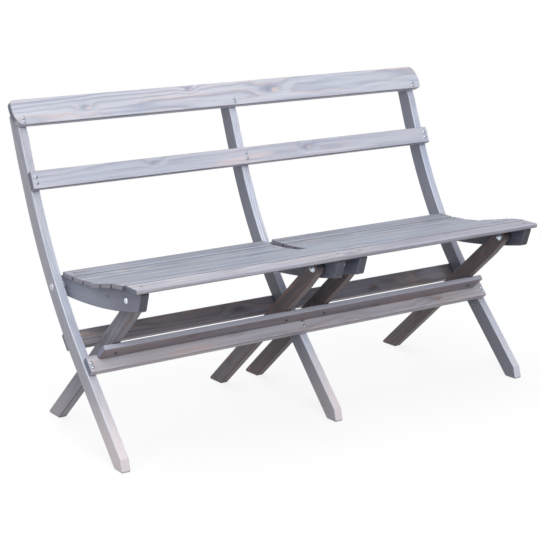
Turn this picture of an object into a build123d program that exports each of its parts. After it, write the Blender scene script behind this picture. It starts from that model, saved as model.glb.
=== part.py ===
from build123d import *
import math
import os

# A folding garden bench for two in planed pine, drawn unfolded and standing on the floor.
# Millimetres. X runs along the bench, the sitter faces -Y and Z is up.
# The origin is on the floor under the middle of the bench.

# Layout
leg_spacing = 589.0
toe_y = -241.136

# Long legs, which run from the front feet up to the top of the back
leg_thickness = 22.0
leg_depth = 45.0
leg_lean = 42.0
lower_run = 305.0
bend_radius = 1160.0
lower_bend = 20.8
rail_flat_margin = 2.5
upper_bend = 2.8
upper_run = 28.0
top_bevel_lean = 6.0
top_bevel_run = 62.0
toe_bevel_station = 42.0
toe_setback = 20.5
foot_rounding = 4.0
leg_rounding = 3.0
leg_top_rounding = 5.0

# Boards across the long legs
board_thickness = 19.0
board_rounding = 3.5
board_end_rounding = 3.0
top_rail_width = 64.5
top_rail_overhang = 26.0
top_rail_lift = 23.5
top_rail_small_corner = 12.0
top_rail_sweep_in = 25.0
top_rail_sweep_up = 45.0
mid_rail_width = 45.0
mid_rail_overhang = 12.0
front_rail_width = 42.5
front_rail_overhang = 7.0
rear_stretcher_width = 43.0
rear_stretcher_overhang = 6.5
leg_slot_room = 14.3

# Seat
slat_width = 49.5
slat_thickness = 11.5
slat_pitch = 54.9
slat_rounding = 3.5
slat_end_rounding = 2.0
split_slats = 3
slat_end_gap = 2.0
long_slat_setback = 2.0
front_slat_setback = 8.0
seat_rear_setback = 9.0
slat_tilts = (-2.6, 1.2, 4.8, 9.9, 11.0, 5.6, -1.8)
side_rail_thickness = 22.0
side_rail_depth = 50.0
side_rail_nose_depth = 46.0
side_rail_nose_setback = 8.0
side_rail_nose_rake = 17.0
side_rail_heel = 26.0
side_rail_rounding = 3.0
side_rail_nose_rounding = 6.0
side_rail_brow_rounding = 5.0

# Short legs, which hang from the front of the seat and stand on the rear feet
short_leg_depth = 40.0
short_leg_thickness = 22.0
short_leg_foot_y = 497.4
short_leg_head_radius = 16.0
short_leg_head_gap = 11.05
short_leg_taper_run = 60.0
short_leg_rounding = 3.0
stop_bar_width = 45.0
stop_bar_thickness = 14.0
stop_bar_setback = 21.0

# Pivots
seat_pivot_station = 499.0
short_leg_pivot_forward = 1.52
seat_spacer = 10.0
leg_washer = 3.0
seat_bolt_radius = 4.0
seat_bolt_head_radius = 9.0
seat_bolt_head_height = 4.5
leg_bolt_radius = 3.0
leg_bolt_head_radius = 7.5
leg_bolt_head_height = 4.0
spacer_radius = 11.0
nut_washer_radius = 9.0
nut_washer_thickness = 1.6
nut_across_flats = 13.0
nut_height = 6.5
nut_chamfer = 0.8
cap_nut_wall = 3.0
cap_nut_dome = 4.0
cap_nut_bore = 5.0
bolt_end = 2.0
bolt_end_chamfer = 1.0

# Screws
rail_screw_length = 38.0
rail_screw_radius = 2.0
rail_screw_head_radius = 4.5
rail_screw_head_height = 2.6
rail_screw_point = 4.0
stop_bar_screw_length = 32.0
slat_screw_length = 26.0
slat_screw_radius = 1.75
slat_screw_head_radius = 3.8
slat_screw_sink = 0.6
countersink_angle = 90.0
slat_screw_point = 3.0
recess_length = 4.0
recess_width = 0.9
recess_depth = 1.3
top_rail_screw_height = 13.1
top_rail_screw_spread = 4.5
mid_rail_screw_spread = 7.0
front_rail_screw_drop = 2.5
front_rail_screw_spread = 5.5
rear_stretcher_screw_spread = 7.0
stop_bar_screw_drop = 2.5

# Clearances
running_fit = 0.08
snug_fit = 0.05
screw_fit = 0.1
side_play = 0.3
rest_clearance = 0.5

os.makedirs("parts", exist_ok=True)


# Directions in the side view, as vectors of Y and Z. A board of level lean lies flat.
level = 90.0
quarter_turn = 90.0


def climb(lean):
    return Vector(math.sin(math.radians(lean)), math.cos(math.radians(lean)))


def outward(lean):
    return Vector(-math.cos(math.radians(lean)), math.sin(math.radians(lean)))


# The front edge of a long leg as runs of length and straightening, from the floor up
lower_arc = bend_radius * math.radians(lower_bend)
upper_arc = bend_radius * math.radians(upper_bend)
rail_flat_run = mid_rail_width + 2 * rail_flat_margin
leg_runs = (
    (lower_run, 0),
    (lower_arc, lower_bend),
    (rail_flat_run, 0),
    (upper_arc, upper_bend),
    (upper_run, 0),
)
bend_start = lower_run
bend_end = bend_start + lower_arc
rail_flat_end = bend_end + rail_flat_run
upper_bend_end = rail_flat_end + upper_arc
bevel_start = upper_bend_end + upper_run
upper_lean = leg_lean - lower_bend - upper_bend
bevel_lean = upper_lean + top_bevel_lean


def front_edge(station):
    point = Vector(toe_y, 0)
    lean = leg_lean
    left = station
    for length, bend in leg_runs:
        used = min(left, length)
        left -= used
        if bend:
            centre = point + outward(lean) * bend_radius
            lean -= bend * used / length
            point = centre - outward(lean) * bend_radius
        else:
            point = point + climb(lean) * used
    return point + climb(lean) * left, lean


def leg_point(station, behind=0.0):
    point, lean = front_edge(station)
    return point - outward(lean) * behind


# A plane on a face that leans back, with its Z axis pointing out of the face
def on_face(x, point, lean, along=0.0, out=0.0):
    spot = point + climb(lean) * along + outward(lean) * out
    normal = outward(lean)
    return Plane(origin=(x, spot.X, spot.Y), x_dir=(1, 0, 0), z_dir=(0, normal.X, normal.Y))


# The seat pivot is in the middle of the side rail's depth, and the slats lie on the rail.
# Their undersides run from the rear of the seat to the front.
seat_pivot = leg_point(seat_pivot_station, leg_depth / 2)
slat_joints = [seat_pivot + Vector(-seat_rear_setback, side_rail_depth / 2)]
for tilt in slat_tilts:
    slat_joints.append(slat_joints[-1] - climb(level + tilt) * slat_pitch)
slat_beds = [(rear + front) / 2 for rear, front in zip(slat_joints, slat_joints[1:])]

# The short legs hang under the last slat but one
pivot_lean = level + slat_tilts[-2]
short_leg_pivot = (
    slat_beds[-2]
    - outward(pivot_lean) * (short_leg_head_radius + short_leg_head_gap)
    - climb(pivot_lean) * short_leg_pivot_forward
)
short_leg_foot = Vector(toe_y + short_leg_foot_y, 0)
short_leg_rise = short_leg_pivot - short_leg_foot
short_leg_length = short_leg_rise.length
short_leg_lean = math.degrees(math.atan2(short_leg_rise.X, short_leg_rise.Y))
short_leg_half = short_leg_depth / 2

# The front rail lies just under the short legs, and the rear stretcher leaves a slot for them
leg_slot = short_leg_depth + leg_slot_room


def station_under_short_leg(out):
    down = outward(short_leg_lean)
    reach = short_leg_foot - Vector(toe_y, 0) - outward(leg_lean) * out
    return (reach.dot(down) + short_leg_half + rest_clearance) / climb(leg_lean).dot(down)


front_rail_top = min(station_under_short_leg(0.0), station_under_short_leg(board_thickness))
front_rail_middle = front_rail_top - front_rail_width / 2
rear_stretcher_middle = front_rail_top + leg_slot + rear_stretcher_width / 2
mid_rail_middle = bend_end + rail_flat_run / 2

# The stop bar's lower edge comes to rest on the front face of the front rail
def along_short_leg(station):
    return (leg_point(station, -board_thickness) - short_leg_foot).dot(climb(short_leg_lean))


stop_bar_start = max(
    along_short_leg(front_rail_top),
    along_short_leg(front_rail_top - stop_bar_thickness - rest_clearance),
) + rest_clearance
stop_bar_middle = stop_bar_start + stop_bar_width / 2

# Places along X, for the left half of the bench
leg_xs = (-leg_spacing, 0.0, leg_spacing)
leg_half = leg_thickness / 2
side_rail_offset = leg_half + seat_spacer + side_rail_thickness / 2
short_leg_offset = side_rail_offset + side_rail_thickness / 2 + leg_washer + short_leg_thickness / 2
# A side rail and a short leg share a name, the long leg beside them and the side of that leg they lie on
seat_ends = (
    ("left_outer", -leg_spacing, 1),
    ("left_inner", 0.0, -1),
    ("right_inner", 0.0, 1),
    ("right_outer", leg_spacing, -1),
)


# Where the screws go, as planes on the outer face of each board
def board_screws(xs, point, lean, thickness, middle, spread):
    return [
        on_face(x, point, lean, middle + side * spread, thickness)
        for x in xs
        for side in (-1, 1)
    ]


top_rail_foot = leg_point(bevel_start) + climb(bevel_lean) * top_rail_lift
mid_rail_seat, mid_rail_lean = front_edge(mid_rail_middle)
front_rail_seat = leg_point(front_rail_middle)
rear_stretcher_seat = leg_point(rear_stretcher_middle, leg_depth)
rear_stretcher_lean = front_edge(rear_stretcher_middle)[1] + 2 * quarter_turn
stop_bar_seat = (
    short_leg_foot
    + climb(short_leg_lean) * stop_bar_middle
    + outward(short_leg_lean) * short_leg_half
)
short_leg_xs = [leg_x + side * short_leg_offset for name, leg_x, side in seat_ends]
top_rail_screws_at = board_screws(
    leg_xs, top_rail_foot, bevel_lean, board_thickness, top_rail_screw_height, top_rail_screw_spread
)
mid_rail_screws_at = board_screws(
    leg_xs, mid_rail_seat, mid_rail_lean, board_thickness, 0, mid_rail_screw_spread
)
front_rail_screws_at = board_screws(
    leg_xs, front_rail_seat, leg_lean, board_thickness, -front_rail_screw_drop, front_rail_screw_spread
)
rear_stretcher_screws_at = board_screws(
    leg_xs, rear_stretcher_seat, rear_stretcher_lean, board_thickness, 0, rear_stretcher_screw_spread
)
stop_bar_screws_at = [
    on_face(x, stop_bar_seat, short_leg_lean, -stop_bar_screw_drop, stop_bar_thickness) for x in short_leg_xs
]


side_rail_xs = [leg_x + side * side_rail_offset for name, leg_x, side in seat_ends]


def slat_screws_at(x):
    return [on_face(x, bed, level + tilt, 0, slat_thickness) for bed, tilt in zip(slat_beds, slat_tilts)]


def save(part, name):
    part.label = name
    export_step(part, f"parts/{name}.step")


# Long legs
leg_frame_screws_at = (
    top_rail_screws_at + mid_rail_screws_at + front_rail_screws_at + rear_stretcher_screws_at
)
bevel_top = leg_point(bevel_start) + climb(bevel_lean) * top_bevel_run
leg_top_station = bevel_start + top_bevel_run * math.cos(math.radians(top_bevel_lean))
heel = Vector(toe_y + leg_depth / math.cos(math.radians(leg_lean)), 0)
for name, leg_x in zip(("left_long_leg", "middle_long_leg", "right_long_leg"), leg_xs):
    with BuildPart() as long_leg:
        with BuildSketch(Plane.YZ.offset(leg_x - leg_half)) as leg_face:
            with BuildLine():
                Polyline(
                    heel,
                    Vector(toe_y + toe_setback, 0),
                    leg_point(toe_bevel_station),
                    leg_point(bend_start),
                )
                for behind in (0.0, leg_depth):
                    for start, end in ((bend_start, bend_end), (rail_flat_end, upper_bend_end)):
                        ThreePointArc(
                            leg_point(start, behind),
                            leg_point((start + end) / 2, behind),
                            leg_point(end, behind),
                        )
                    Line(leg_point(bend_end, behind), leg_point(rail_flat_end, behind))
                Polyline(
                    leg_point(upper_bend_end),
                    leg_point(bevel_start),
                    bevel_top,
                    leg_point(leg_top_station, leg_depth),
                    leg_point(upper_bend_end, leg_depth),
                )
                Line(leg_point(bend_start, leg_depth), heel)
            make_face()
            fillet(leg_face.vertices().group_by(Axis.Y)[0], foot_rounding)
            fillet(leg_face.vertices().sort_by(Axis.Y)[-2:], leg_top_rounding)
        extrude(amount=leg_thickness)
        fillet(long_leg.faces().filter_by(Axis.X).edges(), leg_rounding)
        with BuildSketch(Plane.YZ.offset(leg_x - leg_half)):
            with Locations(seat_pivot):
                Circle(seat_bolt_radius + snug_fit)
        extrude(amount=leg_thickness, mode=Mode.SUBTRACT)
        with Locations(*[plane for plane in leg_frame_screws_at if plane.origin.X == leg_x]):
            Hole(rail_screw_radius + screw_fit, rail_screw_length + screw_fit)
    save(long_leg.part, name)


# The plane of a straight board's end, from the face it lies on
def board_end(x, point, lean, thickness):
    middle = point + outward(lean) * thickness / 2
    across = climb(lean)
    return Plane(origin=(x, middle.X, middle.Y), x_dir=(0, across.X, across.Y), z_dir=(1, 0, 0))


# Top rail, with one small and one swept corner at each end
top_rail_half = leg_spacing + top_rail_overhang
with BuildPart() as top_rail:
    with BuildSketch(on_face(0, top_rail_foot, bevel_lean)):
        with BuildLine():
            Line((-top_rail_half + top_rail_sweep_in, 0), (top_rail_half - top_rail_small_corner, 0))
            RadiusArc(
                (top_rail_half - top_rail_small_corner, 0),
                (top_rail_half, top_rail_small_corner),
                -top_rail_small_corner,
            )
            Line((top_rail_half, top_rail_small_corner), (top_rail_half, top_rail_width - top_rail_sweep_up))
            EllipticalCenterArc(
                (top_rail_half - top_rail_sweep_in, top_rail_width - top_rail_sweep_up),
                top_rail_sweep_in,
                top_rail_sweep_up,
                start_angle=0,
                arc_size=quarter_turn,
            )
            Line(
                (top_rail_half - top_rail_sweep_in, top_rail_width),
                (-top_rail_half + top_rail_small_corner, top_rail_width),
            )
            RadiusArc(
                (-top_rail_half + top_rail_small_corner, top_rail_width),
                (-top_rail_half, top_rail_width - top_rail_small_corner),
                -top_rail_small_corner,
            )
            Line(
                (-top_rail_half, top_rail_width - top_rail_small_corner),
                (-top_rail_half, top_rail_sweep_up),
            )
            EllipticalCenterArc(
                (-top_rail_half + top_rail_sweep_in, top_rail_sweep_up),
                top_rail_sweep_in,
                top_rail_sweep_up,
                start_angle=2 * quarter_turn,
                arc_size=quarter_turn,
            )
        make_face()
    extrude(amount=board_thickness)
    rail_faces = top_rail.faces().sort_by(Axis((0, 0, 0), on_face(0, top_rail_foot, bevel_lean).z_dir))
    fillet(rail_faces[0].edges() + rail_faces[-1].edges(), board_rounding)
    with Locations(*top_rail_screws_at):
        Hole(rail_screw_radius + screw_fit, board_thickness)
save(top_rail.part, "top_rail")

# Straight boards across the legs
mid_rail_half = leg_spacing + mid_rail_overhang
front_rail_half = leg_spacing + front_rail_overhang
rear_stretcher_half = leg_spacing + rear_stretcher_overhang
stop_bar_half = leg_spacing - stop_bar_setback
straight_boards = (
    (
        "mid_rail", mid_rail_half, mid_rail_seat, mid_rail_lean,
        mid_rail_width, board_thickness, mid_rail_screws_at,
    ),
    (
        "front_rail", front_rail_half, front_rail_seat, leg_lean,
        front_rail_width, board_thickness, front_rail_screws_at,
    ),
    (
        "rear_stretcher", rear_stretcher_half, rear_stretcher_seat, rear_stretcher_lean,
        rear_stretcher_width, board_thickness, rear_stretcher_screws_at,
    ),
    (
        "stop_bar", stop_bar_half, stop_bar_seat, short_leg_lean,
        stop_bar_width, stop_bar_thickness, stop_bar_screws_at,
    ),
)
for name, half_length, seat, lean, width, thickness, screws_at in straight_boards:
    with BuildPart() as board:
        with BuildSketch(board_end(-half_length, seat, lean, thickness)):
            RectangleRounded(width, thickness, board_rounding)
        extrude(amount=2 * half_length)
        fillet(board.faces().filter_by(Axis.X).edges(), board_end_rounding)
        with Locations(*screws_at):
            Hole(rail_screw_radius + screw_fit, thickness)
    save(board.part, name)

# Side rails: flats for the slats on top, a hollow curve below, round at the seat pivot
nose_top = slat_joints[-1] + climb(level + slat_tilts[-1]) * side_rail_nose_setback
nose_bottom = nose_top + Vector(side_rail_nose_rake, -side_rail_nose_depth)
rail_tail = seat_pivot.X + side_rail_heel - side_rail_depth / 2 - slat_joints[0].X
rail_back_top = slat_joints[0] + climb(level + slat_tilts[0]) * rail_tail
rail_back_bottom = rail_back_top - Vector(0, side_rail_depth)
rail_middle_bottom = slat_beds[len(slat_beds) // 2] - Vector(0, side_rail_depth)
rail_heel = Vector(seat_pivot.X + side_rail_heel, (rail_back_top.Y + rail_back_bottom.Y) / 2)
for name, leg_x, side in seat_ends:
    rail_x = leg_x + side * side_rail_offset
    with BuildPart() as side_rail:
        with BuildSketch(Plane.YZ.offset(rail_x - side_rail_thickness / 2)) as rail_face:
            with BuildLine():
                Polyline(rail_back_top, *slat_joints[1:-1], nose_top, nose_bottom)
                ThreePointArc(nose_bottom, rail_middle_bottom, rail_back_bottom)
                ThreePointArc(rail_back_bottom, rail_heel, rail_back_top)
            make_face()
            for corner, rounding in ((nose_bottom, side_rail_nose_rounding), (nose_top, side_rail_brow_rounding)):
                fillet(rail_face.vertices().sort_by_distance((corner.X, corner.Y))[0], rounding)
        extrude(amount=side_rail_thickness)
        round_edges = side_rail.faces().filter_by(Axis.X).edges().filter_by(GeomType.CIRCLE)
        fillet(round_edges, side_rail_rounding)
        with BuildSketch(Plane.YZ.offset(rail_x - side_rail_thickness / 2)):
            with Locations(seat_pivot):
                Circle(seat_bolt_radius + running_fit)
            with Locations(short_leg_pivot):
                Circle(leg_bolt_radius + running_fit)
        extrude(amount=side_rail_thickness, mode=Mode.SUBTRACT)
        with Locations(*slat_screws_at(rail_x)):
            Hole(slat_screw_radius + screw_fit, slat_screw_length + screw_fit)
    save(side_rail.part, f"{name}_side_rail")

# Slats, numbered from the rear. The rear ones are split, to fold up between the long legs.
slat_inset = leg_half + slat_end_gap
long_slat_half = leg_spacing - long_slat_setback
front_slat_half = leg_spacing - front_slat_setback
slat_runs = []
for number in range(1, len(slat_tilts) + 1):
    if number <= split_slats:
        slat_runs.append((f"left_slat_{number}", number, slat_inset - leg_spacing, -slat_inset))
        slat_runs.append((f"right_slat_{number}", number, slat_inset, leg_spacing - slat_inset))
    elif number < len(slat_tilts):
        slat_runs.append((f"slat_{number}", number, -long_slat_half, long_slat_half))
    else:
        slat_runs.append((f"slat_{number}", number, -front_slat_half, front_slat_half))
for name, number, start_x, end_x in slat_runs:
    bed = slat_beds[number - 1]
    lean = level + slat_tilts[number - 1]
    screw_xs = [x for x in side_rail_xs if start_x < x < end_x]
    with BuildPart() as slat:
        with BuildSketch(board_end(start_x, bed, lean, slat_thickness)):
            RectangleRounded(slat_width, slat_thickness, slat_rounding)
        extrude(amount=end_x - start_x)
        fillet(slat.faces().filter_by(Axis.X).edges(), slat_end_rounding)
        with Locations(*[on_face(x, bed, lean, 0, slat_thickness) for x in screw_xs]):
            CounterSinkHole(
                slat_screw_radius + screw_fit,
                slat_screw_head_radius + slat_screw_sink + screw_fit,
                slat_thickness,
                countersink_angle,
            )
    save(slat.part, name)

# Short legs, drawn lying along their own axis from the foot
sole_rise = short_leg_half * math.tan(math.radians(-short_leg_lean))
taper_start = short_leg_length - short_leg_taper_run
leg_axis = climb(short_leg_lean)
for (name, long_leg_x, side), leg_x in zip(seat_ends, short_leg_xs):
    outline_plane = Plane(
        origin=(leg_x - short_leg_thickness / 2, short_leg_foot.X, short_leg_foot.Y),
        x_dir=(0, leg_axis.X, leg_axis.Y),
        z_dir=(1, 0, 0),
    )
    with BuildPart() as short_leg:
        with BuildSketch(outline_plane) as short_leg_face:
            with BuildLine():
                Polyline(
                    (short_leg_length, short_leg_head_radius),
                    (taper_start, short_leg_half),
                    (sole_rise, short_leg_half),
                    (-sole_rise, -short_leg_half),
                    (taper_start, -short_leg_half),
                    (short_leg_length, -short_leg_head_radius),
                )
                ThreePointArc(
                    (short_leg_length, -short_leg_head_radius),
                    (short_leg_length + short_leg_head_radius, 0),
                    (short_leg_length, short_leg_head_radius),
                )
            make_face()
            fillet(short_leg_face.vertices().sort_by(Axis.X)[:2], foot_rounding)
        extrude(amount=short_leg_thickness)
        fillet(short_leg.faces().filter_by(Axis.X).edges(), short_leg_rounding)
        with BuildSketch(outline_plane):
            with Locations((short_leg_length, 0)):
                Circle(leg_bolt_radius + snug_fit)
        extrude(amount=short_leg_thickness, mode=Mode.SUBTRACT)
        with Locations(*[plane for plane in stop_bar_screws_at if plane.origin.X == leg_x]):
            Hole(rail_screw_radius + screw_fit, stop_bar_screw_length + screw_fit)
    save(short_leg.part, f"{name}_short_leg")

# The radius of a ball that makes a head of this radius and height
def dome_radius(radius, height):
    return (radius**2 + height**2) / (2 * height)


# A screw or bolt stands on the plane under its head, with its shank down
def pan_screw(length):
    with BuildPart() as screw:
        with BuildSketch(Plane.XZ):
            with BuildLine():
                Polyline(
                    (0, rail_screw_head_height),
                    (0, -length),
                    (rail_screw_radius, rail_screw_point - length),
                    (rail_screw_radius, 0),
                    (rail_screw_head_radius, 0),
                )
                RadiusArc(
                    (rail_screw_head_radius, 0),
                    (0, rail_screw_head_height),
                    -dome_radius(rail_screw_head_radius, rail_screw_head_height),
                )
            make_face()
        revolve(axis=Axis.Z)
        with BuildSketch(Plane.XY.offset(rail_screw_head_height)):
            Rectangle(recess_length, recess_width)
            Rectangle(recess_width, recess_length)
        extrude(amount=-recess_depth, mode=Mode.SUBTRACT)
    return screw.part


def dome_bolt(radius, head_radius, head_height, length):
    with BuildPart() as bolt:
        with BuildSketch(Plane.XZ):
            with BuildLine():
                Polyline(
                    (0, head_height),
                    (0, -length),
                    (radius - bolt_end_chamfer, -length),
                    (radius, bolt_end_chamfer - length),
                    (radius, 0),
                    (head_radius, 0),
                )
                RadiusArc((head_radius, 0), (0, head_height), -dome_radius(head_radius, head_height))
            make_face()
        revolve(axis=Axis.Z)
    return bolt.part


slat_screw_neck = -slat_screw_sink - slat_screw_head_radius + slat_screw_radius
with BuildPart() as slat_screw:
    with BuildSketch(Plane.XZ):
        with BuildLine():
            Polyline(
                (0, -slat_screw_sink),
                (0, -slat_screw_length),
                (slat_screw_radius, slat_screw_point - slat_screw_length),
                (slat_screw_radius, slat_screw_neck),
                (slat_screw_head_radius, -slat_screw_sink),
                close=True,
            )
        make_face()
    revolve(axis=Axis.Z)
    with BuildSketch(Plane.XY.offset(-slat_screw_sink)):
        Rectangle(recess_length, recess_width)
        Rectangle(recess_width, recess_length)
    extrude(amount=-recess_depth, mode=Mode.SUBTRACT)

rail_screw = pan_screw(rail_screw_length)
stop_bar_screw = pan_screw(stop_bar_screw_length)
all_slat_screws_at = [plane for x in side_rail_xs for plane in slat_screws_at(x)]
screw_groups = (
    ("top_rail_screws", rail_screw, top_rail_screws_at),
    ("mid_rail_screws", rail_screw, mid_rail_screws_at),
    ("front_rail_screws", rail_screw, front_rail_screws_at),
    ("rear_stretcher_screws", rail_screw, rear_stretcher_screws_at),
    ("stop_bar_screws", stop_bar_screw, stop_bar_screws_at),
    ("slat_screws", slat_screw.part, all_slat_screws_at),
)
for name, screw, planes in screw_groups:
    with BuildPart() as group:
        with Locations(*planes):
            add(screw)
    save(group.part, name)


# A plane across X at a pivot, facing the given side
def facing(x, pivot, side):
    return Plane(origin=(x, pivot.X, pivot.Y), x_dir=(0, 1, 0), z_dir=(side, 0, 0))


# Seat pivots: one bolt through each long leg and the side rails beside it
rail_outside = side_rail_offset - side_rail_thickness / 2
rail_inside = side_rail_offset + side_rail_thickness / 2
nut_stack = nut_washer_thickness + nut_height + bolt_end
outer_bolt_length = leg_half + rail_inside + side_play + nut_stack
middle_bolt_length = 2 * (rail_inside + side_play) + nut_stack
seat_bolts = (
    ("left_seat_pivot_bolt", facing(-leg_spacing - leg_half, seat_pivot, -1), outer_bolt_length),
    ("middle_seat_pivot_bolt", facing(-rail_inside - side_play, seat_pivot, -1), middle_bolt_length),
    ("right_seat_pivot_bolt", facing(leg_spacing + leg_half, seat_pivot, 1), outer_bolt_length),
)
for name, place, length in seat_bolts:
    bolt = dome_bolt(seat_bolt_radius, seat_bolt_head_radius, seat_bolt_head_height, length)
    with BuildPart() as seat_bolt:
        with Locations(place):
            add(bolt)
    save(seat_bolt.part, name)

# Short leg pivots: the head outside the side rail, a domed nut inside the short leg
short_leg_inside = short_leg_offset + short_leg_thickness / 2
leg_bolt_end = nut_washer_thickness + cap_nut_bore - rest_clearance
leg_bolt_length = short_leg_inside - rail_outside + side_play + leg_bolt_end
leg_bolt = dome_bolt(leg_bolt_radius, leg_bolt_head_radius, leg_bolt_head_height, leg_bolt_length)
with BuildPart() as leg_bolts:
    for name, leg_x, side in seat_ends:
        with Locations(facing(leg_x + side * (rail_outside - side_play), short_leg_pivot, -side)):
            add(leg_bolt)
save(leg_bolts.part, "short_leg_pivot_bolts")

# Spacers, washers and nuts on the bolts
seat_washer_planes = [
    facing(-leg_spacing + rail_inside + side_play, seat_pivot, 1),
    facing(rail_inside + side_play, seat_pivot, 1),
    facing(leg_spacing - rail_inside - side_play, seat_pivot, -1),
]
seat_spacer_planes = [facing(leg_x + side * leg_half, seat_pivot, side) for name, leg_x, side in seat_ends]
leg_spacer_planes = [
    facing(leg_x + side * (rail_inside + side_play), short_leg_pivot, side) for name, leg_x, side in seat_ends
]
leg_washer_planes = [
    facing(leg_x + side * short_leg_inside, short_leg_pivot, side) for name, leg_x, side in seat_ends
]
ring_groups = (
    ("seat_pivot_spacers", seat_spacer_planes, seat_bolt_radius, spacer_radius, seat_spacer - side_play),
    ("seat_pivot_washers", seat_washer_planes, seat_bolt_radius, nut_washer_radius, nut_washer_thickness),
    ("short_leg_pivot_spacers", leg_spacer_planes, leg_bolt_radius, spacer_radius, leg_washer - side_play),
    ("short_leg_pivot_washers", leg_washer_planes, leg_bolt_radius, nut_washer_radius, nut_washer_thickness),
)
for name, planes, bolt_radius, radius, thickness in ring_groups:
    with BuildPart() as rings:
        with BuildSketch(*planes):
            Circle(radius)
            Circle(bolt_radius + snug_fit, mode=Mode.SUBTRACT)
        extrude(amount=thickness)
    save(rings.part, name)

with BuildPart() as seat_nuts:
    with BuildSketch(*[plane.offset(nut_washer_thickness) for plane in seat_washer_planes]):
        RegularPolygon(nut_across_flats / 2, 6, major_radius=False)
        Circle(seat_bolt_radius + snug_fit, mode=Mode.SUBTRACT)
    extrude(amount=nut_height)
    nut_rims = seat_nuts.faces().filter_by(Axis.X).edges().filter_by(GeomType.LINE)
    chamfer(nut_rims, nut_chamfer)
save(seat_nuts.part, "seat_pivot_nuts")

cap_nut_top = cap_nut_wall + cap_nut_dome
with BuildPart() as cap_nut:
    with BuildSketch(Plane.XZ):
        with BuildLine():
            Polyline(
                (0, cap_nut_top),
                (0, cap_nut_bore),
                (leg_bolt_radius + snug_fit, cap_nut_bore),
                (leg_bolt_radius + snug_fit, 0),
                (leg_bolt_head_radius, 0),
                (leg_bolt_head_radius, cap_nut_wall),
            )
            RadiusArc(
                (leg_bolt_head_radius, cap_nut_wall),
                (0, cap_nut_top),
                -dome_radius(leg_bolt_head_radius, cap_nut_dome),
            )
        make_face()
    revolve(axis=Axis.Z)
with BuildPart() as leg_nuts:
    with Locations(*[plane.offset(nut_washer_thickness) for plane in leg_washer_planes]):
        add(cap_nut.part)
save(leg_nuts.part, "short_leg_pivot_nuts")
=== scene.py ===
import math
import random

import bpy
from mathutils import Matrix, Vector


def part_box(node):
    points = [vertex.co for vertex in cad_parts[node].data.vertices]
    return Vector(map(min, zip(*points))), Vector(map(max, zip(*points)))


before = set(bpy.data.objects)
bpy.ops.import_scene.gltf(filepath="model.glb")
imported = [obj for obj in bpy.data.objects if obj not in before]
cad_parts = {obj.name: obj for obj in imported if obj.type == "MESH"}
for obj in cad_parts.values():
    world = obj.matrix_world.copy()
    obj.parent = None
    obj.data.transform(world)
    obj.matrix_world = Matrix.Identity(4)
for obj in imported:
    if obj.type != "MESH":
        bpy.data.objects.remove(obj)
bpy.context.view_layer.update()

# Ranges that each board's seed, pith, grain slope and shade are drawn from, with lengths in metres
seeds = (0, 50)
pith_sides = (-0.025, 0.025)
pith_depths = (0.035, 0.07)
grain_slopes = (0.02, 0.05)
shades = (0.96, 1.04)

# Noise in the wood: waves in a metre along and across the grain, step of the seed, detail and roughness
patterns = {
    "sway": (2.2, 10, 0, 2, 0.5),
    "wobble": (45, 110, 3, 3, 0.5),
    "ripple": (9, 70, 5, 3, 0.5),
    "cloud": (3.5, 16, 7, 3, 0.5),
    "patch": (2.4, 22, 9, 2, 0.5),
    "fibre": (6, 300, 13, 3, 0.6),
    "streak": (4, 120, 17, 3, 0.6),
    "hair": (30, 1300, 19, 2, 0.5),
}

# Growth rings: width and sway in metres, ripple in rings, and where bands and rims rise and fall in a ring
ring_width = 0.0045
ring_sway = 0.06
ring_ripple = 1.1
dark_band = ((0.2, 0.75), (0.84, 0.97))
tan_rim = ((0.7, 0.88), (0.92, 1.0))

# Knots, in knot sizes: length along the grain, place of the heart beside the middle, and raggedness
knot_length = 2.2
knot_heart = (1.7, -0.6)
knot_raggedness = 1.8
far_from_knots = 100.0

# How coats fade: two levels and the shares at them, which are 0 and 1 or come from the look where left out
fades = {
    "cool_cloud": (0.32, 0.68),
    "band_patch": (0.3, 0.65),
    "rim_cloud": (0.6, 0.35),
    "tan_patch": (0.55, 0.8),
    "dark_streak": (0.5, 0.8),
    "pale_streak": (0.5, 0.22),
    "fibre": (0.52, 0.8),
    "hair": (0.55, 0.8, 0.0, 0.3),
    "bent_rings": (0.5, 5.0, 0.9, 0.0),
    "halo": (0.3, 2.4, 0.75, 0.0),
    "halo_streak": (0.25, 0.6, 0.3, 1.0),
    "heart": (0.3, 0.9, 0.8, 0.0),
    "heart_ripple": (0.35, 0.55, 0.3, 1.0),
    "flank": (-0.5, -0.9),
    "flank_streak": (0.48, 0.75, 0.0, 0.6),
    "tip_flank": (0.5, 0.9),
    "lit_brim": (0.6, 0.9, 0.0, 0.85),
    "shaded_side": (0.9, 0.5, 0.45, 1.0),
    "worn_and_highlit_front": (-0.016, -0.022),
    "highlit_cloud": (0.35, 0.6),
    "dirty_rear": (0.016, 0.0225, 0.0, 0.5),
    "gap": (0.85, 0.5),
    "edge": (0.15, 0.8),
    "edge_cloud": (0.3, 0.6, 0.35, 0.85),
    "end": (0.8, 0.95, 0.0, 0.95),
    "dirt": (0.6, 0.2, 0.0, 0.9),
}

# Upward facing over which a rubbed edge goes from painted shade to painted highlight, unless the look says
brown_below = (-0.5, 0.2)

# Parts of the shares that a look gives, and whole shares of other coats
band_least = 0.2
rim_least = 0.15
rim_in_patches = 0.6
streak_in_fibres = 0.7
flank_share = 0.8
tip_share = 0.8
shade_share = 0.9

# Painted shade in corners and creases, roughness, and the relief's height in metres with what fibres, pores
# and bands add to it
dirt_colour = (38, 34, 38)
dirt_reach = 0.009
dirt_samples = 6
wood_roughness = 0.43
fibre_roughness = 0.25
band_roughness = -0.08
wood_relief = 0.0006
fibre_height = 0.6
hair_height = 0.3
band_height = 0.25

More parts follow.
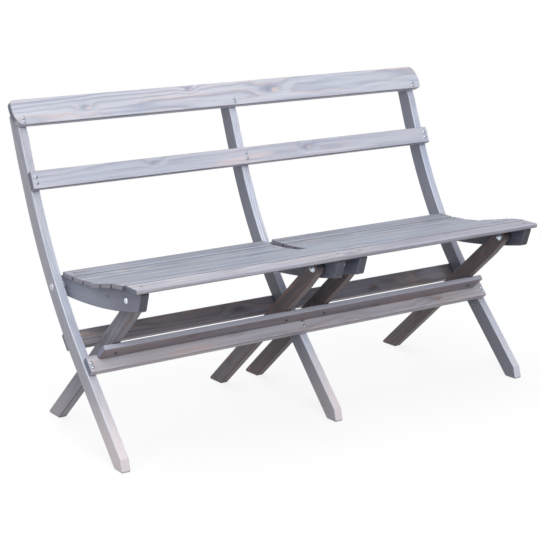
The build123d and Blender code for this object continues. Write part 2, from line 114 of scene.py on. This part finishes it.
# Zinc: waves in a metre and seeds of its patches and its grain, roughness, and the relief's height in metres
zinc_patches = ((260, 260, 260), 4.0)
zinc_grain = ((1500, 1500, 1500), 9.0)
zinc_fade = (0.35, 0.65)
zinc_roughness = 0.15
patch_roughness = 0.25
grain_roughness = 0.1
zinc_relief = 0.0001


def linear(red, green, blue):
    """A colour given as 8 bit screen values, in the linear values that a shader takes."""

    def channel(value):
        part = value / 255
        return part / 12.92 if part <= 0.04045 else ((part + 0.055) / 1.055) ** 2.4

    return (channel(red), channel(green), channel(blue), 1.0)


class Shader:
    """The nodes of a material or world and short ways to add more.

    An input is a socket to link or a value to set.
    """

    def __init__(self, owner):
        owner.use_nodes = True
        self.owner = owner
        self.tree = owner.node_tree
        self.tree.nodes.clear()

    def add(self, kind, inputs, **settings):
        node = self.tree.nodes.new(kind)
        for key, value in settings.items():
            setattr(node, key, value)
        for key, value in inputs.items():
            if isinstance(value, bpy.types.NodeSocket):
                self.tree.links.new(value, node.inputs[key])
            else:
                node.inputs[key].default_value = value
        return node

    def math(self, operation, first, second=0.0):
        return self.add("ShaderNodeMath", {0: first, 1: second}, operation=operation).outputs[0]

    def total(self, *values):
        result = values[0]
        for value in values[1:]:
            result = self.math("ADD", result, value)
        return result

    def product(self, first, second):
        return self.math("MULTIPLY", first, second)

    def scaled(self, value, size, shift=0.0):
        return self.add("ShaderNodeMath", {0: value, 1: size, 2: shift}, operation="MULTIPLY_ADD").outputs[0]

    def remap(self, value, low, high, start=0.0, end=1.0):
        """A smooth step from start to end while the value goes from low to high, which may lie below low."""
        inputs = {"Value": value, "From Min": low, "From Max": high, "To Min": start, "To Max": end}
        return self.add("ShaderNodeMapRange", inputs, interpolation_type="SMOOTHSTEP").outputs[0]

    def hump(self, value, rise, fall):
        return self.product(self.remap(value, *rise), self.remap(value, *fall, 1.0, 0.0))

    def parts(self, vector):
        return tuple(self.add("ShaderNodeSeparateXYZ", {0: vector}).outputs)

    def length(self, vector):
        return self.add("ShaderNodeVectorMath", {0: vector}, operation="LENGTH").outputs["Value"]

    def noise(self, place, stretch, seed, detail, roughness=0.5):
        scaled = self.add("ShaderNodeVectorMath", {0: place, 1: stretch}, operation="MULTIPLY").outputs[0]
        inputs = {"Vector": scaled, "W": seed, "Scale": 1.0, "Detail": detail, "Roughness": roughness}
        return self.add("ShaderNodeTexNoise", inputs, noise_dimensions="4D").outputs["Fac"]

    def mix(self, share, first, second):
        return self.add("ShaderNodeMix", {0: share, 6: first, 7: second}, data_type="RGBA").outputs[2]

    def in_sight(self):
        """One for rays that show a thing itself, straight, in gloss or through glass, and zero for others."""
        path = self.add("ShaderNodeLightPath", {})
        straight_or_gloss = self.math("MAXIMUM", path.outputs["Is Camera Ray"], path.outputs["Is Glossy Ray"])
        return self.math("MAXIMUM", straight_or_gloss, path.outputs["Is Transmission Ray"])

    def switch(self, share, first, second):
        return self.add("ShaderNodeMixShader", {0: share, 1: first.outputs[0], 2: second.outputs[0]})

    def finish(self, colour, roughness, height, relief, **sockets):
        bump = self.add("ShaderNodeBump", {"Height": height, "Distance": relief})
        inputs = {"Base Color": colour, "Roughness": roughness, "Normal": bump.outputs[0]}
        shader = self.add("ShaderNodeBsdfPrincipled", {**inputs, **sockets})
        self.add("ShaderNodeOutputMaterial", {"Surface": shader.outputs[0]})
        return self.owner


def stained_pine(name, centre, along, across, look, knots):
    """Planed pine under a grey see-through stain, with the log's length along one direction of the board.

    A look has colours as 8 bit screen values and shares from 0 to 1. It may also give ring width and pith
    depths in metres, the colours of painted shade on the left flank, of a tip at the board's start with its
    reach and its share on the flanks, and of painted light on the upper brim, the stretch over which painted
    shade grows along the board, the wear and painted highlight on a slat's front, the share of painted shade
    on its sides at the gaps, and the upward facing over which its edges go from painted shade to painted
    highlight.
    """
    chance = random.Random(name)
    seed = chance.uniform(*seeds)
    pith_side = chance.uniform(*pith_sides)
    pith_depth = chance.uniform(*look.get("pith", pith_depths))
    slope = chance.choice((-1, 1)) * chance.uniform(*grain_slopes)
    shade = chance.uniform(*shades)
    s = Shader(bpy.data.materials.new(name))

    # Place and facing in the board's own directions: x along the grain, y across it and z out of its face
    axes = Matrix((along, across, along.cross(across)))
    spot = s.add("ShaderNodeTexCoord", {})
    turn = {"Vector": spot.outputs["Object"], "Location": centre, "Rotation": axes.transposed().to_euler()}
    place = s.add("ShaderNodeMapping", turn, vector_type="TEXTURE").outputs[0]
    turn = {"Vector": spot.outputs["Normal"], "Rotation": axes.to_euler()}
    facing = s.add("ShaderNodeMapping", turn, vector_type="VECTOR").outputs[0]
    place_x, place_y, place_z = s.parts(place)
    facing_x, facing_y, facing_z = s.parts(facing)
    upward = s.parts(spot.outputs["Normal"])[2]
    broad = s.math("ABSOLUTE", facing_z)

    def pattern(key):
        waves_along, waves_across, step, detail, roughness = patterns[key]
        return s.noise(place, (waves_along, waves_across, waves_across), seed + step, detail, roughness)

    def tone(key):
        return tuple(shade * part for part in linear(*look[key])[:3]) + (1.0,)

    def fade(value, key, *shares):
        return s.remap(value, *fades[key], *shares)

    # Distance to the nearest knot or its heart, in knot sizes, ragged and drawn out along the grain
    def knot_distance(shift_along, shift_across):
        nearest = far_from_knots
        for knot_along, knot_across, size in knots:
            middle_of_knot = (knot_along + shift_along * size, knot_across + shift_across * size, 0)
            at = {"Vector": place, "Location": middle_of_knot, "Scale": (knot_length * size, size, 1)}
            from_knot = s.add("ShaderNodeMapping", at, vector_type="TEXTURE").outputs[0]
            nearest = s.math("MINIMUM", s.length(from_knot), nearest)
        return s.total(nearest, s.scaled(wobble, knot_raggedness, -knot_raggedness / 2))

    if knots:
        wobble = pattern("wobble")
        from_knots = knot_distance(0.0, 0.0)
        from_hearts = knot_distance(*knot_heart)

    # Growth rings round a pith that lies under the face and drifts along the board
    sway = pattern("sway")
    ripple = pattern("ripple")
    beside_pith = s.total(
        place_y, s.scaled(place_x, slope, -pith_side), s.scaled(sway, ring_sway, -ring_sway / 2)
    )
    above_pith = s.total(place_z, s.scaled(sway, -ring_sway / 2, ring_sway / 4 + pith_depth))
    radius = s.math("SQRT", s.total(s.product(beside_pith, beside_pith), s.product(above_pith, above_pith)))
    rings = s.total(s.scaled(radius, 1 / look.get("ring", ring_width)), s.scaled(ripple, ring_ripple))
    if knots:
        rings = s.total(rings, fade(from_knots, "bent_rings"))
    in_ring = s.math("FRACT", rings)
    band = s.hump(in_ring, *dark_band)
    rim = s.hump(in_ring, *tan_rim)

    # Coats of colour over the stain clouds, each with its share: rings, streaks, fibres and pores
    cloud = pattern("cloud")
    patch = pattern("patch")
    fibre = pattern("fibre")
    streak = pattern("streak")
    hair = pattern("hair")
    bands, rims, streaks = look["bands"], look["rims"], look["streaks"]
    coats = [
        (s.product(band, fade(patch, "band_patch", band_least * bands, bands)), tone("dark")),
        (s.product(rim, fade(cloud, "rim_cloud", rim_least * rims, rims)), tone("tan")),
        (fade(patch, "tan_patch", 0.0, rim_in_patches * rims), tone("tan")),
        (fade(streak, "dark_streak", 0.0, streaks), tone("dark")),
        (fade(streak, "pale_streak", 0.0, streaks), tone("pale")),
        (fade(fibre, "fibre", 0.0, streak_in_fibres * streaks), tone("dark")),
        (fade(hair, "hair"), tone("dark")),
    ]
    if knots:
        halo = s.product(fade(from_knots, "halo"), fade(streak, "halo_streak"))
        heart = s.product(fade(from_hearts, "heart"), fade(ripple, "heart_ripple"))
        coats += [(halo, tone("dark")), (heart, tone("heart"))]

    # Painted shade and light over parts of the board, and a tip of another colour at its start
    # Painted shade on the left-facing flank, with dark streaks in it
    if "flank" in look:
        flank = fade(facing_z, "flank")
        flank_streak = s.product(flank, fade(streak, "flank_streak"))
        coats += [(s.scaled(flank, flank_share), tone("flank")), (flank_streak, tone("dark"))]
    if "tip" in look:
        tip = s.remap(place_x, *look["tip_reach"], tip_share, 0.0)
        coats.append((s.product(tip, fade(broad, "tip_flank", 1.0, look["tip_flank"])), tone("tip")))
    # Painted light on the upper brim
    if "lit_brim" in look:
        coats.append((fade(facing_y, "lit_brim"), tone("lit_brim")))
    # Painted shade that grows towards one end of the board, most on its sides
    if "shade" in look:
        shaded_end = s.remap(place_x, *look["shade"], 0.0, shade_share)
        coats.append((s.product(shaded_end, fade(broad, "shaded_side")), tone("dark")))
    # A slat's front is worn pale and carries a painted highlight; its rear edge beside the gap gets painted
    # shade
    if "worn_and_highlit" in look:
        front_rub_and_highlight = s.product(fade(place_y, "worn_and_highlit_front"), fade(cloud, "highlit_cloud"))
        coats.append((s.product(front_rub_and_highlight, look["worn_and_highlit"]), tone("edge")))
        coats.append((fade(place_y, "dirty_rear"), tone("under")))
    # Painted shade on a slat's sides in the gaps
    if "gap" in look:
        coats.append((fade(broad, "gap", 0.0, look["gap"]), tone("under")))

    # Rubbed edges with painted shade below and painted highlight above, end grain that has drunk more stain,
    # and painted shade in corners and creases
    on_edge = s.product(broad, s.scaled(broad, -4.0, 4.0))
    rub_and_edge_light = s.product(fade(on_edge, "edge"), fade(cloud, "edge_cloud"))
    edge_highlight_and_shade = s.mix(s.remap(upward, *look.get("brown", brown_below)), tone("under"), tone("edge"))
    ended = fade(s.math("ABSOLUTE", facing_x), "end")
    # Painted shade in corners and creases, from ambient occlusion
    openness = s.add("ShaderNodeAmbientOcclusion", {"Distance": dirt_reach}, samples=dirt_samples)
    dirt = fade(openness.outputs["AO"], "dirt")
    coats += [(rub_and_edge_light, edge_highlight_and_shade), (ended, tone("end")), (dirt, linear(*dirt_colour))]

    colour = s.mix(fade(cloud, "cool_cloud"), tone("mid"), tone("cool"))
    for share, coat in coats:
        colour = s.mix(share, colour, coat)
    roughness = s.total(s.scaled(fibre, fibre_roughness, wood_roughness), s.scaled(band, band_roughness))
    height = s.total(s.scaled(fibre, fibre_height), s.scaled(hair, hair_height), s.scaled(band, band_height))
    return s.finish(colour, roughness, height, wood_relief)


def zinc(name, bright, dull):
    """Zinc plate with a faint crystal pattern and dull patches."""
    s = Shader(bpy.data.materials.new(name))
    place = s.add("ShaderNodeTexCoord", {}).outputs["Object"]
    patch = s.noise(place, *zinc_patches, detail=3)
    grain = s.noise(place, *zinc_grain, detail=2)
    colour = s.mix(s.remap(patch, *zinc_fade), linear(*bright), linear(*dull))
    roughness = s.total(s.scaled(patch, patch_roughness, zinc_roughness), s.scaled(grain, grain_roughness))
    return s.finish(colour, roughness, grain, zinc_relief, Metallic=1.0)


# Directions in the side view, for a lean from upright in degrees
def climb(lean):
    return Vector((0, math.sin(math.radians(lean)), math.cos(math.radians(lean))))


def outward(lean):
    return Vector((0, -math.cos(math.radians(lean)), math.sin(math.radians(lean))))


# Looks of the boards
looks = {
    "back": {
        "mid": (203, 204, 212), "cool": (193, 198, 212), "dark": (138, 144, 166), "pale": (222, 222, 229),
        "tan": (216, 198, 196), "heart": (225, 202, 196), "edge": (152, 140, 138), "under": (81, 69, 74),
        "end": (95, 101, 119), "bands": 0.65, "rims": 0.65, "streaks": 0.45,
        "ring": 0.008, "pith": (0.03, 0.05),
    },
    "leg": {
        "mid": (185, 190, 202), "cool": (179, 187, 205), "dark": (138, 141, 157), "pale": (211, 213, 224),
        "tan": (199, 181, 175), "heart": (168, 140, 130), "edge": (211, 217, 232), "under": (135, 123, 126),
        "end": (119, 119, 130), "bands": 0.55, "rims": 0.6, "streaks": 0.65,
        "flank": (163, 160, 169), "tip": (228, 216, 217), "tip_reach": (-0.42, -0.2), "tip_flank": 0.95,
    },
    "slat": {
        "mid": (140, 142, 153), "cool": (127, 134, 151), "dark": (84, 88, 104), "pale": (166, 167, 178),
        "tan": (146, 135, 132), "heart": (147, 113, 102), "edge": (171, 176, 191), "under": (67, 61, 67),
        "end": (138, 134, 146), "bands": 0.65, "rims": 0.7, "streaks": 0.85,
        "worn_and_highlit": 0.6, "gap": 0.75, "brown": (0.4, 0.8),
    },
    "front_slat": {
        "mid": (178, 175, 183), "cool": (164, 166, 179), "dark": (117, 116, 128), "pale": (199, 197, 203),
        "tan": (178, 160, 154), "heart": (164, 135, 123), "edge": (171, 172, 184), "under": (128, 119, 122),
        "end": (90, 97, 114), "bands": 0.65, "rims": 0.6, "streaks": 0.75,
        "worn_and_highlit": 0.4, "shade": (-0.15, 0.2),
    },
    # The side rails' noses, and the inner rails' tones as a whole, are darkened as painted shade under the
    # slats
    "seat_side": {
        "mid": (113, 116, 132), "cool": (106, 110, 127), "dark": (86, 87, 102), "pale": (127, 130, 144),
        "tan": (146, 135, 136), "heart": (130, 109, 104), "edge": (127, 133, 153), "under": (79, 72, 79),
        "end": (55, 56, 67), "bands": 0.45, "rims": 0.4, "streaks": 0.5,
    },
    "short_leg": {
        "mid": (109, 99, 101), "cool": (104, 98, 105), "dark": (72, 64, 69), "pale": (128, 117, 118),
        "tan": (144, 108, 94), "heart": (119, 83, 71), "edge": (102, 89, 89), "under": (89, 62, 58),
        "end": (77, 73, 79), "bands": 0.75, "rims": 0.8, "streaks": 0.6,
    },
    "stretcher": {
        "mid": (168, 162, 169), "cool": (155, 154, 166), "dark": (116, 112, 121), "pale": (192, 186, 189),
        "tan": (200, 174, 155), "heart": (136, 106, 94), "edge": (148, 142, 149), "under": (109, 94, 94),
        "end": (109, 113, 131), "bands": 0.6, "rims": 0.7, "streaks": 0.6,
    },
    "stop": {
        "mid": (146, 134, 138), "cool": (139, 132, 142), "dark": (103, 92, 96), "pale": (166, 155, 158),
        "tan": (165, 138, 131), "heart": (133, 102, 93), "edge": (178, 176, 191), "under": (104, 90, 93),
        "end": (135, 139, 160), "bands": 0.55, "rims": 0.6, "streaks": 0.55,
        "lit_brim": (188, 191, 206),
    },
    "front": {
        "mid": (192, 187, 193), "cool": (182, 181, 192), "dark": (142, 137, 145), "pale": (208, 204, 207),
        "tan": (204, 181, 173), "heart": (157, 127, 116), "edge": (179, 173, 180), "under": (104, 74, 69),
        "end": (106, 114, 137), "bands": 0.55, "rims": 0.6, "streaks": 0.5,
        "ring": 0.007,
    },
}

# Looks that change another one
looks["mid_back"] = {
    **looks["back"],
    "mid": (193, 193, 203), "cool": (180, 184, 198), "dark": (135, 138, 159), "heart": (200, 186, 186),
    "bands": 0.5,
}
looks["middle_leg"] = {
    **looks["leg"],
    "mid": (211, 216, 229), "cool": (204, 211, 229), "flank": (92, 92, 104), "tip_flank": 0.5,
}
looks["right_leg"] = {
    **looks["leg"],
    "mid": (192, 198, 212), "cool": (185, 194, 213), "flank": (106, 106, 118), "tip": (209, 209, 218),
    "tip_flank": 0.0,
}
looks["left_side"] = {
    **looks["seat_side"],
    "mid": (150, 153, 169), "cool": (142, 145, 163), "dark": (111, 113, 130), "pale": (163, 166, 179),
    "end": (46, 47, 56), "tip": (110, 112, 128), "tip_reach": (-0.15, 0.0), "tip_flank": 1.0,
}
# The right outer side rail is darker still: painted shade
looks["right_side"] = {
    **looks["seat_side"],
    "mid": (85, 86, 101), "cool": (79, 81, 97), "pale": (96, 98, 111), "end": (30, 31, 40),
}
looks["outer_short_leg"] = {
    **looks["short_leg"],
    "mid": (143, 143, 156), "cool": (136, 138, 154), "dark": (106, 104, 114), "pale": (159, 158, 168),
    "tip": (175, 167, 172), "tip_reach": (-0.3, -0.1), "tip_flank": 1.0,
}
looks["shaded_short_leg"] = {
    **looks["short_leg"],
    "mid": (93, 83, 86), "cool": (87, 81, 87), "dark": (58, 51, 56), "pale": (111, 100, 102),
    "edge": (84, 72, 72),
}

# Boards along the bench: look, lean of the face and knots as place along, place across and size
long_leg_lean = 30.0
short_leg_lean = -50.1
side_rail_lean = 95.0
long_boards = {
    "top_rail": ("back", 24.4, [(-0.425, -0.002, 0.0045), (-0.127, 0.022, 0.004), (0.117, 0.006, 0.009)]),
    "mid_rail": ("mid_back", 21.2, [(-0.27, 0.01, 0.0045), (0.19, 0.006, 0.0045)]),
    "front_rail": ("front", 42.0, [(0.42, 0.0, 0.008), (-0.2, 0.012, 0.005)]),
    "rear_stretcher": ("stretcher", 218.5, [(-0.12, 0.0, 0.006), (0.3, 0.01, 0.005)]),
    "stop_bar": ("stop", short_leg_lean, [(-0.33, 0.01, 0.005), (0.22, -0.012, 0.005)]),
    "left_slat_1": ("slat", 87.4, [(-0.24, 0.0, 0.004)]),
    "right_slat_1": ("slat", 87.4, []),
    "left_slat_2": ("slat", 91.2, [(0.15, 0.008, 0.005)]),
    "right_slat_2": ("slat", 91.2, []),
    "left_slat_3": ("slat", 94.8, []),
    "right_slat_3": ("slat", 94.8, [(0.18, 0.0, 0.005)]),
    "slat_4": ("slat", 99.9, [(-0.3, -0.006, 0.004)]),
    "slat_5": ("slat", 101.0, [(0.2, 0.004, 0.004)]),
    "slat_6": ("slat", 95.6, [(-0.366, 0.0, 0.005), (0.03, -0.012, 0.005), (0.517, 0.0, 0.006)]),
    "slat_7": ("front_slat", 88.2, [(-0.005, -0.012, 0.006), (0.31, 0.01, 0.004)]),
}

# Boards that lie in the side view: look, lean of their length and knots
side_boards = {
    "left_long_leg": ("leg", long_leg_lean, [(-0.02, 0.0, 0.005), (0.25, 0.005, 0.006)]),
    "middle_long_leg": ("middle_leg", long_leg_lean, [(0.33, 0.004, 0.006), (-0.4, 0.0, 0.005)]),
    "right_long_leg": ("right_leg", long_leg_lean, [(0.1, 0.0, 0.005)]),
    "left_outer_short_leg": ("outer_short_leg", short_leg_lean, [(0.1, 0.0, 0.005)]),
    "left_inner_short_leg": ("short_leg", short_leg_lean, [(-0.2, 0.004, 0.006)]),
    "right_inner_short_leg": ("shaded_short_leg", short_leg_lean, [(0.05, -0.004, 0.005)]),
    "right_outer_short_leg": ("short_leg", short_leg_lean, [(0.18, 0.0, 0.007), (-0.12, 0.003, 0.006)]),
    "left_outer_side_rail": ("left_side", side_rail_lean, [(-0.05, 0.0, 0.004)]),
    "left_inner_side_rail": ("seat_side", side_rail_lean, []),
    "right_inner_side_rail": ("seat_side", side_rail_lean, []),
    "right_outer_side_rail": ("right_side", side_rail_lean, []),
}
along_bench = Vector((1, 0, 0))


def middle(name):
    low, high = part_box(name)
    return (low + high) / 2


def cover(name, material):
    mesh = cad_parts[name].data
    mesh.materials.clear()
    mesh.materials.append(material)


for name, (look, lean, knots) in long_boards.items():
    cover(name, stained_pine(name, middle(name), along_bench, climb(lean), looks[look], knots))
for name, (look, lean, knots) in side_boards.items():
    cover(name, stained_pine(name, middle(name), climb(lean), outward(lean), looks[look], knots))

# Fasteners
bright_zinc = zinc("bright_zinc", (236, 242, 250), (196, 204, 216))
aged_zinc = zinc("aged_zinc", (218, 224, 233), (118, 124, 136))
worn_zinc = zinc("worn_zinc", (182, 188, 199), (132, 138, 150))
dark_zinc = zinc("dark_zinc", (96, 98, 104), (58, 58, 64))
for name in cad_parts:
    if name in ("slat_screws", "stop_bar_screws"):
        cover(name, dark_zinc)
    elif name.endswith("screws"):
        cover(name, worn_zinc)
    elif name.endswith("seat_pivot_bolt"):
        cover(name, aged_zinc)
    elif name not in long_boards and name not in side_boards:
        cover(name, bright_zinc)


def place_in_scene(item):
    bpy.context.scene.collection.objects.link(item)


# The floor looks white, keeps the bench's shadow near it, and throws back less light than it shows
floor_half = 30
floor_drop = 0.0005
shadow_fade = (0.7, 1.6)
near_whiteness = 0.82
white_colour = (1, 1, 1, 1)
shaded_colour = (0.95, 0.95, 0.95, 1)
unseen_colour = (0.4, 0.4, 0.41, 1)
floor_mesh = bpy.data.meshes.new("floor")
corners = [(-1, -1), (1, -1), (1, 1), (-1, 1)]
floor_mesh.from_pydata([(floor_half * x, floor_half * y, 0) for x, y in corners], [], [(0, 1, 2, 3)])
floor = bpy.data.objects.new("floor", floor_mesh)
floor.location = (0, 0, -floor_drop)
place_in_scene(floor)
paper = Shader(bpy.data.materials.new("pale_floor"))
from_middle = paper.length(paper.add("ShaderNodeTexCoord", {}).outputs["Object"])
shaded = paper.add("ShaderNodeBsdfDiffuse", {"Color": shaded_colour})
plain = paper.add("ShaderNodeEmission", {"Color": white_colour})
shown = paper.switch(paper.remap(from_middle, *shadow_fade, near_whiteness, 1.0), shaded, plain)
unseen = paper.add("ShaderNodeBsdfDiffuse", {"Color": unseen_colour})
either = paper.switch(paper.in_sight(), unseen, shown)
paper.add("ShaderNodeOutputMaterial", {"Surface": either.outputs[0]})
floor_mesh.materials.append(paper.owner)

# Soft lights: place, point they face, size, watts and tint
softboxes = {
    "key": ((-1.8, -4.0, 3.5), (0, 0, 0.4), 3.0, 167, (1.0, 0.99, 0.97)),
    "sky": ((-0.6, 0.4, 4.8), (0, 0, 0.3), 5.0, 137, (0.95, 0.97, 1.0)),
    "fill": ((3.5, -3.0, 1.8), (0, 0, 0.4), 2.5, 30, (0.94, 0.96, 1.0)),
    "rear": ((1.6, 4.4, 2.4), (0, 0, 0.4), 3.0, 73, (0.96, 0.98, 1.0)),
    "side": ((-4.0, -0.6, 3.2), (0, 0, 0.4), 2.5, 30, (0.95, 0.97, 1.0)),
}
lights_without_gloss = ("rear",)
for name, (place, aim, size, watts, tint) in softboxes.items():
    light = bpy.data.lights.new(name, "AREA")
    light.shape = "SQUARE"
    light.size = size
    light.energy = watts
    light.color = tint
    lamp = bpy.data.objects.new(name, light)
    lamp.location = place
    lamp.rotation_euler = (Vector(aim) - Vector(place)).to_track_quat("-Z", "Y").to_euler()
    lamp.visible_glossy = name not in lights_without_gloss
    place_in_scene(lamp)

# The world gives a dim even light and looks white
dim_colour = (0.93, 0.95, 1.0, 1)
dim_strength = 0.3
studio = Shader(bpy.data.worlds.new("studio"))
bpy.context.scene.world = studio.owner
dim = studio.add("ShaderNodeBackground", {"Color": dim_colour, "Strength": dim_strength})
white = studio.add("ShaderNodeBackground", {"Color": white_colour, "Strength": 1.0})
around = studio.switch(studio.in_sight(), dim, white)
studio.add("ShaderNodeOutputWorld", {"Surface": around.outputs[0]})

bpy.context.scene.view_settings.view_transform = "Standard"

# The camera, at the photograph's angle for a square frame 540 pixels wide
frame_pixels = 540
focal_pixels = 1467.6
sensor_width = 36
furthest = 100
camera_place = (-2.0116, -2.9926, 1.1678)
yaw = math.radians(33.244)
pitch = math.radians(12.892)
roll = math.radians(-1.234)
ahead = Vector((math.sin(yaw) * math.cos(pitch), math.cos(yaw) * math.cos(pitch), -math.sin(pitch)))
level = Vector((math.cos(yaw), -math.sin(yaw), 0))
upright = level.cross(ahead)
right = math.cos(roll) * level + math.sin(roll) * upright
up = math.cos(roll) * upright - math.sin(roll) * level
camera = bpy.data.cameras.new("camera")
camera.sensor_width = sensor_width
camera.lens = sensor_width * focal_pixels / frame_pixels
camera.clip_end = furthest
viewer = bpy.data.objects.new("camera", camera)
viewer.matrix_world = Matrix.Translation(camera_place) @ Matrix((right, up, -ahead)).transposed().to_4x4()
place_in_scene(viewer)
bpy.context.scene.camera = viewer
